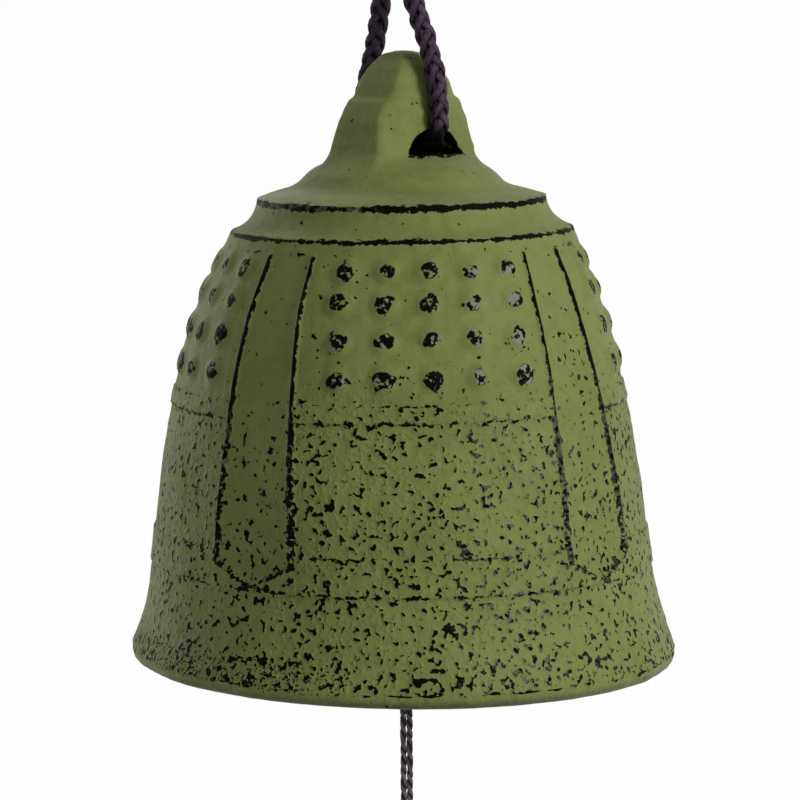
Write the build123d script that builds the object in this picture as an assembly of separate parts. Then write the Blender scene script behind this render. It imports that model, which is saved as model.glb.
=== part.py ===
from build123d import *
import math
import os

# Furin wind bell: a cast bell in the form of a temple bell, hung on a braided cord, with a clapper
# and a paper wind strip on a thread inside it.
# Millimetres, +Z up. The origin is inside the top of the hanging loop, where a hook carries the bell.
# Names that end in _UP are heights above the bell's rim, and those that end in _RISE are steps up.

# Outside of the casting: each step is taken from the one below it
RIM_R = 37.5
LIP_FOOT_IN = 1.5
LIP_RISE = 2.1
FLARE_IN = 2.4
FLARE_RISE = 7.6
WAIST_IN = 2.0
WAIST_RISE = 15.2
PANEL_IN = 2.2
PANEL_RISE = 12.5
CHEST_IN = 3.4
CHEST_RISE = 12.5
SHOULDER_IN = 4.3
SHOULDER_RISE = 9.7
SHOULDER_SLOPE = 0.45
STEP_IN = 3.5
STEP_RISE = 4.3
STEP_HOLLOW = 0.6
CROWN_IN = 8.9
CROWN_RISE = 5.4
CROWN_HOLLOW = 1.3
CROWN_DOME = 0.8

# Walls of the casting
WALL = 3.0
LIP_WALL = 3.4
CROWN_WALL = 6.0

# Relief on the outside: upright bands with a pointed foot, two girdles and the panels of nubs
BAND_COUNT = 4
BAND_AZIMUTH = 52.5
BAND_HALF_ANGLE = 10.3
BAND_RELIEF = 0.5
BAND_TOP_DROP = 2.0
BAND_FOOT_UP = 17.0
BAND_POINT = 3.0
GIRDLE_RELIEF = 0.35
MID_GIRDLE_DROP = 23.5
MID_GIRDLE_HEIGHT = 2.4
LOW_GIRDLE_UP = 13.7
LOW_GIRDLE_HEIGHT = 4.2
NUB_COLUMNS = 5
NUB_PITCH_ANGLE = 12.2
NUB_D = 3.5
NUB_HEIGHT = 1.0
NUB_DROPS = [3.9, 7.9, 12.9, 18.0]

# Crown lug: half lengths along it, and half thicknesses at its ends and at its middle
LUG_AZIMUTH = 45.0
LUG_FOOT_LENGTH = 9.3
LUG_FOOT_END = 5.6
LUG_FOOT_MIDDLE = 6.1
LUG_LEDGE_RISE = 8.6
LUG_LEDGE_LENGTH = 6.3
LUG_LEDGE_END = 3.9
LUG_LEDGE_MIDDLE = 5.7
LUG_STEP_RISE = 0.7
LUG_STEP_IN = 0.9
LUG_STEP_THINNING = 0.35
LUG_NECK_RISE = 2.0
LUG_NECK_LENGTH = 4.5
LUG_NECK_END = 3.5
LUG_NECK_MIDDLE = 4.8
LUG_PEAK_RISE = 2.2
LUG_PEAK_LENGTH = 2.6
LUG_PEAK_END = 2.4
LUG_PEAK_MIDDLE = 3.7
LUG_TIP_RISE = 1.3
LUG_TIP_LENGTH = 1.0
LUG_TIP_END = 1.0
LUG_TIP_MIDDLE = 2.0
LUG_SINK = 1.0
HOLE_HALF_WIDTH = 4.2
HOLE_HEIGHT = 3.6

# Hanging cord
CORD_D = 2.7
CORD_CLEARANCE = 0.3
SEAT_BEND = 2.9
LEG_OUT = 7.5
SEAT_DROP = 64.8
KNOT_FOOT_DROP = 38.65
HANGING_KNOT_HEIGHT = 9.0
HANGING_KNOT_R = 5.0
HANGING_KNOT_FLAT_R = 4.3
KNOT_LEG_OUT = 1.45
CORD_END_OUT = 2.75

# Clapper, its eye and its thread
EYE_WIRE_D = 1.6
EYE_SPAN = 5.0
EYE_BEND = 1.6
EYE_DROP = 4.5
EYE_ROOT = 3.0
STRAND_D = 0.75
THREAD_D = 1.8
THREAD_CLEARANCE = 0.1
TURN_GAP = 0.3
LOOP_DROP = 2.8
THREAD_KNOT_R = 2.2
THREAD_KNOT_HEIGHT = 3.2
CLAPPER_R = 12.0
CLAPPER_THICKNESS = 4.2
CLAPPER_EDGE_R = 1.6
CLAPPER_HOLE_D = 2.6
CLAPPER_UP = 12.0

# Wind thread and paper strip
WIND_THREAD_LENGTH = 28.2
STRIP_WIDTH = 45.0
STRIP_LENGTH = 115.0
STRIP_THICKNESS = 0.4
STRIP_HOLE_D = 4.0
STRIP_MARGIN = 4.0
STRIP_LOOP_R = 1.7
STRIP_LOOP_DEPTH = 7.2

# Routes of the hanging cord, chosen by hand, as (out along the lug's hole, height)
BAIL_ROUTE = [
    (-2.25, -KNOT_FOOT_DROP),
    (-2.25, -41.0),
    (-5.1, -51.4),
    (-6.5, -55.4),
    (-7.4, -58.7),
    (-LEG_OUT, -SEAT_DROP),
    (LEG_OUT, -SEAT_DROP),
    (7.4, -58.7),
    (6.5, -55.4),
    (5.2, -51.4),
    (0.65, -40.9),
    (0.65, -KNOT_FOOT_DROP),
]
KNOT_OUT = -0.8
LOOP_ROUTE = [
    (KNOT_OUT - KNOT_LEG_OUT, -29.65),
    (-2.25, -25.6),
    (-7.4, -16.0),
    (-8.6, -6.6),
    (-4.5, 1.35),
    (4.5, 1.35),
    (8.0, -6.6),
    (6.2, -16.0),
    (0.65, -25.6),
    (KNOT_OUT + KNOT_LEG_OUT, -29.65),
]
CORD_END_ROUTE = [(CORD_END_OUT, -29.65), (2.75, -26.2), (4.6, -22.4)]

# Levels worked out from the sizes
LIP_UP = LIP_RISE
FLARE_UP = LIP_UP + FLARE_RISE
WAIST_UP = FLARE_UP + WAIST_RISE
PANEL_UP = WAIST_UP + PANEL_RISE
CHEST_UP = PANEL_UP + CHEST_RISE
SHOULDER_UP = CHEST_UP + SHOULDER_RISE
STEP_UP = SHOULDER_UP + STEP_RISE
CROWN_UP = STEP_UP + CROWN_RISE
TOP_UP = CROWN_UP + CROWN_DOME
CEILING_UP = TOP_UP - CROWN_WALL
HOLE_FLOOR_UP = CROWN_UP + CROWN_DOME / 2
SEAT_UP = HOLE_FLOOR_UP + HOLE_HEIGHT - CORD_CLEARANCE - CORD_D / 2
RIM_Z = -SEAT_DROP - SEAT_UP

FLARE_R = RIM_R - FLARE_IN
WAIST_R = FLARE_R - WAIST_IN
PANEL_R = WAIST_R - PANEL_IN
CHEST_R = PANEL_R - CHEST_IN
SHOULDER_R = CHEST_R - SHOULDER_IN
STEP_R = SHOULDER_R - STEP_IN
CROWN_R = STEP_R - CROWN_IN

EYE_BAR_UP = CEILING_UP - EYE_DROP
THREAD_KNOT_UP = EYE_BAR_UP - LOOP_DROP
CLAPPER_PIVOT_UP = THREAD_KNOT_UP - THREAD_KNOT_HEIGHT - TURN_GAP - THREAD_D / 2
STOP_KNOT_UP = CLAPPER_UP - CLAPPER_THICKNESS / 2
WIND_PIVOT_UP = STOP_KNOT_UP - THREAD_KNOT_HEIGHT - TURN_GAP - THREAD_D / 2
STRIP_KNOT_UP = WIND_PIVOT_UP + THREAD_D / 2 - WIND_THREAD_LENGTH - TURN_GAP
STRIP_PIVOT_UP = STRIP_KNOT_UP - THREAD_KNOT_HEIGHT - TURN_GAP - THREAD_D / 2
STRIP_LOOP_FOOT_UP = STRIP_PIVOT_UP - STRIP_LOOP_DEPTH
STRIP_HOLE_UP = STRIP_LOOP_FOOT_UP + STRAND_D / 2 + THREAD_CLEARANCE - STRIP_HOLE_D / 2
STRIP_TOP_UP = STRIP_HOLE_UP + STRIP_HOLE_D / 2 + STRIP_MARGIN


# Places and directions

def level(up):
    """The Z of a height above the rim."""
    return RIM_Z + up


def heading(azimuth):
    """A level direction: 0 degrees faces the front, -Y, and 90 degrees the right, +X."""
    turn = math.radians(azimuth)
    return Vector(math.sin(turn), -math.cos(turn), 0)


def section_point(radius, up):
    """A point of a turned profile, which lies in the XZ plane."""
    return Vector(radius, 0, level(up))


def between(a, b, hollow):
    """The middle of a to b, moved by hollow towards the axis and down, for a hollow arc."""
    along = (b - a).normalized()
    inward = Vector(-along.Z, 0, along.X)
    middle = (a + b) * 0.5
    return middle + inward * hollow


def turned(edges):
    """A solid turned about the Z axis from the closed outline of its half section."""
    return revolve(make_face(edges), Axis.Z)


# Bell casting

def body_curve(relief=0.0):
    """The outside from the lip to the shoulder, moved out by relief."""
    radii_and_heights = [
        (RIM_R, LIP_UP),
        (FLARE_R, FLARE_UP),
        (WAIST_R, WAIST_UP),
        (PANEL_R, PANEL_UP),
        (CHEST_R, CHEST_UP),
        (SHOULDER_R, SHOULDER_UP),
    ]
    points = [section_point(radius + relief, up) for radius, up in radii_and_heights]
    return Spline(*points, tangents=[(0, 0, 1), (-SHOULDER_SLOPE, 0, 1)])


def body_radius(up):
    """The outside radius at a height between the lip and the shoulder, by halving."""
    curve = body_curve()
    low = 0.0
    high = 1.0
    while high - low > 1e-6:
        middle = (low + high) / 2
        if (curve @ middle).Z < level(up):
            low = middle
        else:
            high = middle
    return (curve @ low).X


def body_slope(up):
    """How far the outside leans in, in degrees, at a height."""
    step = 0.2
    return math.degrees(math.atan((body_radius(up - step) - body_radius(up + step)) / (2 * step)))


def casting_core():
    """The outside of the casting without relief, filled to the axis."""
    foot = section_point(RIM_R - LIP_FOOT_IN, 0)
    lip = section_point(RIM_R, LIP_UP)
    shoulder = section_point(SHOULDER_R, SHOULDER_UP)
    step = section_point(STEP_R, STEP_UP)
    crown = section_point(CROWN_R, CROWN_UP)
    top = section_point(0, TOP_UP)
    quarter = math.sqrt(0.5)
    lip_middle = section_point(RIM_R - LIP_FOOT_IN * (1 - quarter), LIP_UP * (1 - quarter))
    # A shallow dome stands three quarters of its height at half its radius
    dome_middle = section_point(CROWN_R / 2, CROWN_UP + CROWN_DOME * 0.75)
    edges = [
        Line(section_point(0, 0), foot),
        ThreePointArc(foot, lip_middle, lip),
        body_curve(),
        ThreePointArc(shoulder, between(shoulder, step, STEP_HOLLOW), step),
        ThreePointArc(step, between(step, crown, CROWN_HOLLOW), crown),
        ThreePointArc(crown, dome_middle, top),
        Line(top, section_point(0, 0)),
    ]
    return turned(edges)


def raised_skin(relief):
    """The body between lip and shoulder, swollen by relief and filled to the axis."""
    curve = body_curve(relief)
    edges = [
        Line(section_point(0, LIP_UP), curve @ 0),
        curve,
        Line(curve @ 1, section_point(0, SHOULDER_UP)),
        Line(section_point(0, SHOULDER_UP), section_point(0, LIP_UP)),
    ]
    return turned(edges)


def girdle(low_up, height):
    """A raised ring round the body."""
    slab = Pos(0, 0, level(low_up + height / 2)) * Cylinder(2 * RIM_R, height)
    return raised_skin(GIRDLE_RELIEF) & slab


def upright_band(azimuth):
    """A raised upright band with straight sides on two planes through the axis, and a pointed foot."""
    top_up = SHOULDER_UP - BAND_TOP_DROP
    reach = 2 * RIM_R
    side = reach * math.tan(math.radians(BAND_HALF_ANGLE))
    facing = Plane(origin=(0, 0, 0), x_dir=heading(azimuth), z_dir=(0, 0, 1))
    wedge_outline = Polyline((0, 0), (reach, -side), (reach, side), close=True)
    wedge = Pos(0, 0, level(0)) * extrude(facing * make_face(wedge_outline), top_up)
    foot_half = body_radius(BAND_FOOT_UP) * math.tan(math.radians(BAND_HALF_ANGLE))
    tip_up = BAND_FOOT_UP - BAND_POINT
    arrow_outline = Polyline(
        (-side, level(top_up)),
        (-side, level(BAND_FOOT_UP + BAND_POINT * (side / foot_half - 1))),
        (0, level(tip_up)),
        (side, level(BAND_FOOT_UP + BAND_POINT * (side / foot_half - 1))),
        (side, level(top_up)),
        close=True,
    )
    across = heading(azimuth + 90)
    front = Plane(origin=(0, 0, 0), x_dir=across, z_dir=across.cross(Vector(0, 0, 1)))
    arrow = extrude(front * make_face(arrow_outline), reach, both=True)
    return raised_skin(BAND_RELIEF) & wedge & arrow


def nubs():
    """The panels of domed nubs between the upright bands."""
    ball_r = (NUB_D * NUB_D / 4 + NUB_HEIGHT * NUB_HEIGHT) / (2 * NUB_HEIGHT)
    sunk = ball_r - NUB_HEIGHT
    made = []
    for drop in NUB_DROPS:
        up = SHOULDER_UP - drop
        lean = math.radians(body_slope(up))
        radius = body_radius(up) - sunk * math.cos(lean)
        height = level(up) - sunk * math.sin(lean)
        for panel in range(BAND_COUNT):
            centre = BAND_AZIMUTH + (panel + 0.5) * 360 / BAND_COUNT
            for column in range(NUB_COLUMNS):
                azimuth = centre + (column - (NUB_COLUMNS - 1) / 2) * NUB_PITCH_ANGLE
                made.append(Pos(heading(azimuth) * radius + Vector(0, 0, height)) * Sphere(ball_r))
    return made


def lug_section(rise, length, end, middle):
    """A level slice of the crown lug: straight ends and bowed faces."""
    place = Plane(origin=(0, 0, level(CROWN_UP) + rise), x_dir=heading(LUG_AZIMUTH + 90), z_dir=(0, 0, 1))
    outline = [
        ThreePointArc((-length, -end), (0, -middle), (length, -end)),
        Line((length, -end), (length, end)),
        ThreePointArc((length, end), (0, middle), (-length, end)),
        Line((-length, end), (-length, -end)),
    ]
    return place * make_face(outline)


def lug():
    """The crown lug, with its ledge and its rounded peak."""
    step_rise = LUG_LEDGE_RISE + LUG_STEP_RISE
    step_middle = LUG_LEDGE_MIDDLE - LUG_STEP_THINNING
    neck_rise = step_rise + LUG_NECK_RISE
    peak_rise = neck_rise + LUG_PEAK_RISE
    tip_rise = peak_rise + LUG_TIP_RISE
    slices = [
        lug_section(-LUG_SINK, LUG_FOOT_LENGTH, LUG_FOOT_END, LUG_FOOT_MIDDLE),
        lug_section(LUG_LEDGE_RISE, LUG_LEDGE_LENGTH, LUG_LEDGE_END, LUG_LEDGE_MIDDLE),
        lug_section(step_rise, LUG_LEDGE_LENGTH - LUG_STEP_IN, LUG_LEDGE_END, step_middle),
        lug_section(neck_rise, LUG_NECK_LENGTH, LUG_NECK_END, LUG_NECK_MIDDLE),
        lug_section(peak_rise, LUG_PEAK_LENGTH, LUG_PEAK_END, LUG_PEAK_MIDDLE),
        lug_section(tip_rise, LUG_TIP_LENGTH, LUG_TIP_END, LUG_TIP_MIDDLE),
    ]
    return loft(slices, ruled=True)


def lug_hole():
    """The arched hole through the lug, and its two rounded mouths, which the cord turns up in."""
    through = 2 * LUG_FOOT_LENGTH
    axis = heading(LUG_AZIMUTH)
    across = Plane(origin=(0, 0, level(HOLE_FLOOR_UP)), x_dir=heading(LUG_AZIMUTH + 90), z_dir=axis)
    arch_outline = [
        ThreePointArc((-HOLE_HALF_WIDTH, 0), (0, HOLE_HEIGHT), (HOLE_HALF_WIDTH, 0)),
        Line((HOLE_HALF_WIDTH, 0), (-HOLE_HALF_WIDTH, 0)),
    ]
    cut = extrude(across * make_face(arch_outline), through, both=True)
    bore = CORD_D / 2 + CORD_CLEARANCE
    mouth = SEAT_BEND - bore
    start = LEG_OUT - SEAT_BEND
    quarter = math.sqrt(0.5)
    trumpet_outline = [
        Line((0, 0), (through, 0)),
        Line((through, 0), (through, SEAT_BEND)),
        Line((through, SEAT_BEND), (start + mouth, SEAT_BEND)),
        ThreePointArc(
            (start + mouth, SEAT_BEND),
            (start + mouth * quarter, bore + mouth * (1 - quarter)),
            (start, bore),
        ),
        Line((start, bore), (0, bore)),
        Line((0, bore), (0, 0)),
    ]
    for way in (0, 180):
        along = Plane(
            origin=(0, 0, -SEAT_DROP),
            x_dir=heading(LUG_AZIMUTH + way),
            z_dir=heading(LUG_AZIMUTH + way).cross(Vector(0, 0, 1)),
        )
        cut += revolve(along * make_face(trumpet_outline), Axis((0, 0, -SEAT_DROP), heading(LUG_AZIMUTH)))
    return cut


def hollow():
    """The inside of the bell, from below the rim to the domed ceiling."""
    mouth_r = RIM_R - LIP_WALL
    below = -LIP_RISE
    wall_points = [
        section_point(mouth_r, 0),
        section_point(FLARE_R - WALL, FLARE_UP),
        section_point(WAIST_R - WALL, WAIST_UP),
        section_point(PANEL_R - WALL, PANEL_UP),
        section_point(CHEST_R - WALL, CHEST_UP),
        section_point(SHOULDER_R - WALL, SHOULDER_UP - WALL * SHOULDER_SLOPE),
        section_point(0, CEILING_UP),
    ]
    edges = [
        Line(section_point(0, below), section_point(mouth_r, below)),
        Line(section_point(mouth_r, below), wall_points[0]),
        Spline(*wall_points, tangents=[(0, 0, 1), (-1, 0, 0)]),
        Line(wall_points[-1], section_point(0, below)),
    ]
    return turned(edges)


def make_bell(eye):
    """The whole casting, cast round the legs of the clapper eye."""
    core = casting_core()
    bands = [upright_band(BAND_AZIMUTH + n * 360 / BAND_COUNT) for n in range(BAND_COUNT)]
    girdles = [
        girdle(SHOULDER_UP - MID_GIRDLE_DROP, MID_GIRDLE_HEIGHT),
        girdle(LOW_GIRDLE_UP, LOW_GIRDLE_HEIGHT),
    ]
    return core.fuse(*girdles, *bands, *nubs(), lug()) - hollow() - lug_hole() - eye


# Cords, threads and their knots

def cord_point(out, height, along=0.0):
    """A point of the hanging cord: out along the lug's hole, and along the lug."""
    return heading(LUG_AZIMUTH) * out + heading(LUG_AZIMUTH + 90) * along + Vector(0, 0, height)


def bend_radii(points, tight):
    """The largest arcs that the runs of a route allow, and the given radii at its tight corners."""
    run_share = 0.45
    radii = []
    for n in range(1, len(points) - 1):
        before = points[n] - points[n - 1]
        after = points[n + 1] - points[n]
        half_turn = math.radians(before.get_angle(after)) / 2
        widest = run_share * min(before.length, after.length) / math.tan(half_turn)
        radii.append(tight.get(n, widest))
    return radii


def cord(name, points, diameter, tight):
    """A round cord along a route of straight runs and arcs. Prints its radii and checks its volume."""
    radii = bend_radii(points, tight)
    path = FilletPolyline(*points, radius=radii)
    start = Plane(origin=path @ 0, z_dir=path % 0)
    tube = sweep(start * Circle(diameter / 2), path=path)
    expected = math.pi * diameter ** 2 / 4 * path.length
    print(name, "length", round(path.length, 2), "radii", [round(r, 1) for r in radii],
          "volume share", round(tube.volume / expected, 4))
    return tube


def knot(radius, flat_r, height, top_z):
    """A knot pulled tight: a barrel that tapers to a flat over the last quarter at each end."""
    foot_z = top_z - height
    taper = height / 4
    outline = Polyline(
        (0, 0, foot_z),
        (flat_r, 0, foot_z),
        (radius, 0, foot_z + taper),
        (radius, 0, top_z - taper),
        (flat_r, 0, top_z),
        (0, 0, top_z),
        close=True,
    )
    return turned(outline)


def thread_knot(top_up):
    """A knot in the thread, wide enough on its flats for both strands of a loop."""
    flat_r = EYE_WIRE_D / 2 + STRAND_D + THREAD_CLEARANCE
    return knot(THREAD_KNOT_R, flat_r, THREAD_KNOT_HEIGHT, level(top_up))


def hanging_thread(pivot_up, foot_up):
    """A straight stretch of thread with a round head, which swings about the head's middle."""
    length = pivot_up - foot_up
    shaft = Pos(0, 0, level(foot_up) + length / 2) * Cylinder(THREAD_D / 2, length)
    return shaft + Pos(0, 0, level(pivot_up)) * Sphere(THREAD_D / 2)


def make_hanging_cord():
    points = [cord_point(out, height) for out, height in BAIL_ROUTE]
    corner = BAIL_ROUTE.index((-LEG_OUT, -SEAT_DROP))
    return cord("hanging_cord", points, CORD_D, {corner: SEAT_BEND, corner + 1: SEAT_BEND})


def make_hanging_knot():
    top_z = -KNOT_FOOT_DROP + HANGING_KNOT_HEIGHT
    body = knot(HANGING_KNOT_R, HANGING_KNOT_FLAT_R, HANGING_KNOT_HEIGHT, top_z)
    return Pos(cord_point(KNOT_OUT, 0)) * body


def make_hanging_loop():
    return cord("hanging_loop", [cord_point(out, height) for out, height in LOOP_ROUTE], CORD_D, {})


def make_cord_ends():
    ends = []
    for side in (-1, 1):
        points = [cord_point(KNOT_OUT, height, side * along) for along, height in CORD_END_ROUTE]
        ends.append(cord("cord_ends", points, CORD_D, {}))
    return Compound(children=ends)


# Clapper and paper strip

def make_clapper_eye():
    """A wire staple with both legs cast into the crown."""
    half = EYE_SPAN / 2
    root_z = level(CEILING_UP + EYE_ROOT)
    bar_z = level(EYE_BAR_UP)
    path = FilletPolyline(
        (-half, 0, root_z), (-half, 0, bar_z), (half, 0, bar_z), (half, 0, root_z), radius=EYE_BEND
    )
    start = Plane(origin=path @ 0, z_dir=path % 0)
    return sweep(start * Circle(EYE_WIRE_D / 2), path=path)


def make_thread_loop():
    """The thread's fold over the bar of the eye, down to its knot."""
    reach = EYE_WIRE_D / 2 + THREAD_CLEARANCE + STRAND_D / 2
    foot_z = level(THREAD_KNOT_UP)
    bar_z = level(EYE_BAR_UP)
    path = Wire([
        Line((0, -reach, foot_z), (0, -reach, bar_z)),
        ThreePointArc((0, -reach, bar_z), (0, 0, bar_z + reach), (0, reach, bar_z)),
        Line((0, reach, bar_z), (0, reach, foot_z)),
    ])
    start = Plane(origin=(0, -reach, foot_z), z_dir=(0, 0, 1))
    return sweep(start * Circle(STRAND_D / 2), path=path)


def make_clapper():
    """A cast disc with a rounded edge and a hole for the thread."""
    widest_fillet = 0.95 * CLAPPER_THICKNESS / 2
    disc = Cylinder(CLAPPER_R, CLAPPER_THICKNESS)
    rim_edges = disc.edges().filter_by(GeomType.CIRCLE)
    disc = fillet(rim_edges, min(CLAPPER_EDGE_R, widest_fillet))
    return Pos(0, 0, level(CLAPPER_UP)) * (disc - Cylinder(CLAPPER_HOLE_D / 2, CLAPPER_THICKNESS))


def make_strip_loop():
    """The thread's loop through the paper, from a neck under its knot."""
    neck_z = level(STRIP_PIVOT_UP)
    bend_z = level(STRIP_LOOP_FOOT_UP) + STRIP_LOOP_R
    foot_z = level(STRIP_LOOP_FOOT_UP)
    spread_z = (neck_z + bend_z) / 2
    sides = []
    for side in (-1, 1):
        leg = FilletPolyline(
            (0, 0, neck_z),
            (0, side * STRIP_LOOP_R, spread_z),
            (0, side * STRIP_LOOP_R, bend_z),
            radius=STRIP_LOOP_R,
        )
        start = Plane(origin=leg @ 0, z_dir=leg % 0)
        sides.append(sweep(start * Circle(STRAND_D / 2), path=leg))
    bend = ThreePointArc((0, -STRIP_LOOP_R, bend_z), (0, 0, foot_z), (0, STRIP_LOOP_R, bend_z))
    start = Plane(origin=bend @ 0, z_dir=bend % 0)
    fold = sweep(start * Circle(STRAND_D / 2), path=bend)
    neck = Pos(0, 0, neck_z) * Sphere(THREAD_D / 2)
    return neck.fuse(*sides, fold)


def make_paper_strip():
    """The paper that the wind catches, with its hole near the top edge."""
    sheet = Box(STRIP_WIDTH, STRIP_THICKNESS, STRIP_LENGTH)
    sheet = Pos(0, 0, level(STRIP_TOP_UP) - STRIP_LENGTH / 2) * sheet
    punch = Rot(90, 0, 0) * Cylinder(STRIP_HOLE_D / 2, 2 * STRIP_THICKNESS)
    return sheet - Pos(0, 0, level(STRIP_HOLE_UP)) * punch


eye = make_clapper_eye()
pieces = {
    "bell": make_bell(eye),
    "clapper_eye": eye,
    "hanging_cord": make_hanging_cord(),
    "hanging_knot": make_hanging_knot(),
    "hanging_loop": make_hanging_loop(),
    "cord_ends": make_cord_ends(),
    "thread_loop": make_thread_loop(),
    "thread_knot": thread_knot(THREAD_KNOT_UP),
    "clapper_thread": hanging_thread(CLAPPER_PIVOT_UP, STOP_KNOT_UP),
    "clapper": make_clapper(),
    "stop_knot": thread_knot(STOP_KNOT_UP),
    "wind_thread": hanging_thread(WIND_PIVOT_UP, STRIP_KNOT_UP + TURN_GAP),
    "strip_knot": thread_knot(STRIP_KNOT_UP),
    "strip_loop": make_strip_loop(),
    "paper_strip": make_paper_strip(),
}

os.makedirs("parts", exist_ok=True)
for node, shape in pieces.items():
    export_step(shape, f"parts/{node}.step")

print("rim z", round(RIM_Z, 3), "seat z", -SEAT_DROP)
print("pivots z: clapper", round(level(CLAPPER_PIVOT_UP), 3), "wind", round(level(WIND_PIVOT_UP), 3),
      "strip", round(level(STRIP_PIVOT_UP), 3))
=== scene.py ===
import math

import bpy
import numpy as np
from mathutils import Matrix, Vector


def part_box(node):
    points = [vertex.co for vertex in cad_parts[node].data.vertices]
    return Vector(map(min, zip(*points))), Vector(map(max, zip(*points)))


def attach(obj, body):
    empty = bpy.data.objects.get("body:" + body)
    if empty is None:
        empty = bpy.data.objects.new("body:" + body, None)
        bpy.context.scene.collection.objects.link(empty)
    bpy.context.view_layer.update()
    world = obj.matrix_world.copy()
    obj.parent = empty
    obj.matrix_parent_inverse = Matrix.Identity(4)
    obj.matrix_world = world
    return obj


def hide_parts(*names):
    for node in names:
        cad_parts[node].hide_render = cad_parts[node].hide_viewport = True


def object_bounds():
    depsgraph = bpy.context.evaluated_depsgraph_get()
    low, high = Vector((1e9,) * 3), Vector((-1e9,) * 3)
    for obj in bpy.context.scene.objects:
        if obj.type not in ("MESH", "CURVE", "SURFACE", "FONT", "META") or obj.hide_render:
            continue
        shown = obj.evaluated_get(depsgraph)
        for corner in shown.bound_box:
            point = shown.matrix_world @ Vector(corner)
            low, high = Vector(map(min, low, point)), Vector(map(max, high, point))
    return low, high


# Furin wind bell: the looks of the painted casting, the braided cord, the twisted thread and the
# paper strip. Sizes are millimetres in the frame's own axes, and meshes are written in metres.
# Names that end in _UP are heights above the bell's rim.

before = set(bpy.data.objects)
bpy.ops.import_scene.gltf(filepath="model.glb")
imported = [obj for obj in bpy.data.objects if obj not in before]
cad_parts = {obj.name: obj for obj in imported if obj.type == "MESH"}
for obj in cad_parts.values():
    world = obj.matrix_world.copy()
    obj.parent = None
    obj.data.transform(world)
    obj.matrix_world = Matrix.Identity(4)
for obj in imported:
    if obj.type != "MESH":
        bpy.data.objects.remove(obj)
cad_low, cad_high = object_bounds()

MM = 0.001
RIM_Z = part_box("bell")[0].z / MM

# Camera, fitted to the photograph's frame
FRAME_PIXELS = 800
FOCAL_PIXELS = 4397
SENSOR_WIDTH = 36.0
CAMERA_BACK = 600.0
CAMERA_UP = 110.0
CAMERA_RIGHT = -0.32
CAMERA_PITCH = 7.05
CAMERA_ROLL = -0.23

# Outside of the casting
FOOT_R = 36.0
LIP_R = 37.5
LIP_UP = 2.1
BODY_UPS = [LIP_UP, 9.7, 24.9, 37.4, 49.9, 59.6]
BODY_RADII = [LIP_R, 35.1, 33.1, 30.9, 27.5, 23.2]
LIP_SLOPE = -0.45
SHOULDER_SLOPE = -0.45
SHOULDER_UP = BODY_UPS[-1]
SHOULDER_R = BODY_RADII[-1]
STEP_R = 19.7
STEP_UP = 63.9
STEP_HOLLOW = 0.9
CROWN_OUTLINE = [(STEP_R, STEP_UP), (17.5, 64.6), (14.1, 65.9), (12.7, 67.3)]
CROWN_UP = 69.3
RIM_TILT = (-0.0154, 0.011)
BODY_TILT = (0.010, -0.006)
BODY_TILT_UP = 40.0
BODY_LEAN = -0.38

# Inside of the casting
WALL = 3.0
MOUTH_R = 34.1
CEILING_UP = 64.1

# Relief
BAND_AZIMUTHS = [-37.2, 50.2, 142.0, 232.5]
BAND_HALF_ANGLE = 10.6
BAND_NARROWING = 2.2
RIB_RELIEF = 0.35
RIB_TOP_HALF = 0.12
RIB_FOOT_HALF = 0.42
BAND_TOP_UP = 57.6
BAND_FOOT_UP = 17.3
BAND_POINT = 2.9
BAND_TWIST = 1.3
GIRDLES = [(14.0, 19.0), (36.1, 38.6)]
GIRDLE_RELIEF = 0.25
NUB_COLUMNS = 5
NUB_R = 1.75
NUB_HEIGHT = 0.6
NUB_ROWS = [(55.7, 12.6), (51.7, 12.8), (46.9, 12.3), (41.9, 12.3)]
NUB_TURN = 1.85

# Crown lug: (rise above the crown, half length, half thickness at the ends, at the middle, shift along)
LUG_AZIMUTH = 45.0
LUG_SLICES = [
    (0.0, 9.8, 4.9, 6.4, 0.3),
    (2.2, 9.3, 4.4, 6.1, 0.3),
    (5.0, 8.8, 3.8, 5.9, 0.4),
    (6.3, 8.2, 3.6, 5.8, 0.4),
    (7.7, 7.4, 3.5, 5.6, 0.6),
    (8.0, 7.0, 3.5, 5.5, 0.6),
    (8.2, 6.4, 3.5, 5.5, 0.6),
    (8.9, 6.0, 3.5, 5.3, 0.6),
    (10.4, 5.3, 3.5, 5.0, 0.6),
    (12.1, 4.1, 3.1, 4.3, 0.6),
    (13.3, 2.9, 2.5, 3.4, 0.6),
    (14.0, 2.2, 2.0, 2.5, 0.6),
    (14.4, 0.8, 0.8, 1.0, 0.6),
]
LUG_ROUNDING = 28.0
LUG_FILLET = 1.3
HOLE_FLOOR_UP = 69.8
HOLE_TOP_UP = 73.2
HOLE_HALF_WIDTH = 4.4
HOLE_FLARE = 1.2
HOLE_SHIFT = 0.6

# How close the casting's mesh is: rows in mm, columns in degrees from a rib, and in counts
PLAIN_STEP = 0.52
POINT_STEP = 0.26
NUB_STEP = 0.36
LUG_STEP = 0.3
RIB_COLUMNS = [-0.85, -0.28, 0.28, 0.85]
BAND_COLUMNS = 22
PANEL_COLUMNS = 93

# Cord and thread
CORD_D = 2.7
THREAD_D = 1.8
STRAND_D = 0.75
BRAID_PITCH = 9.8

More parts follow.
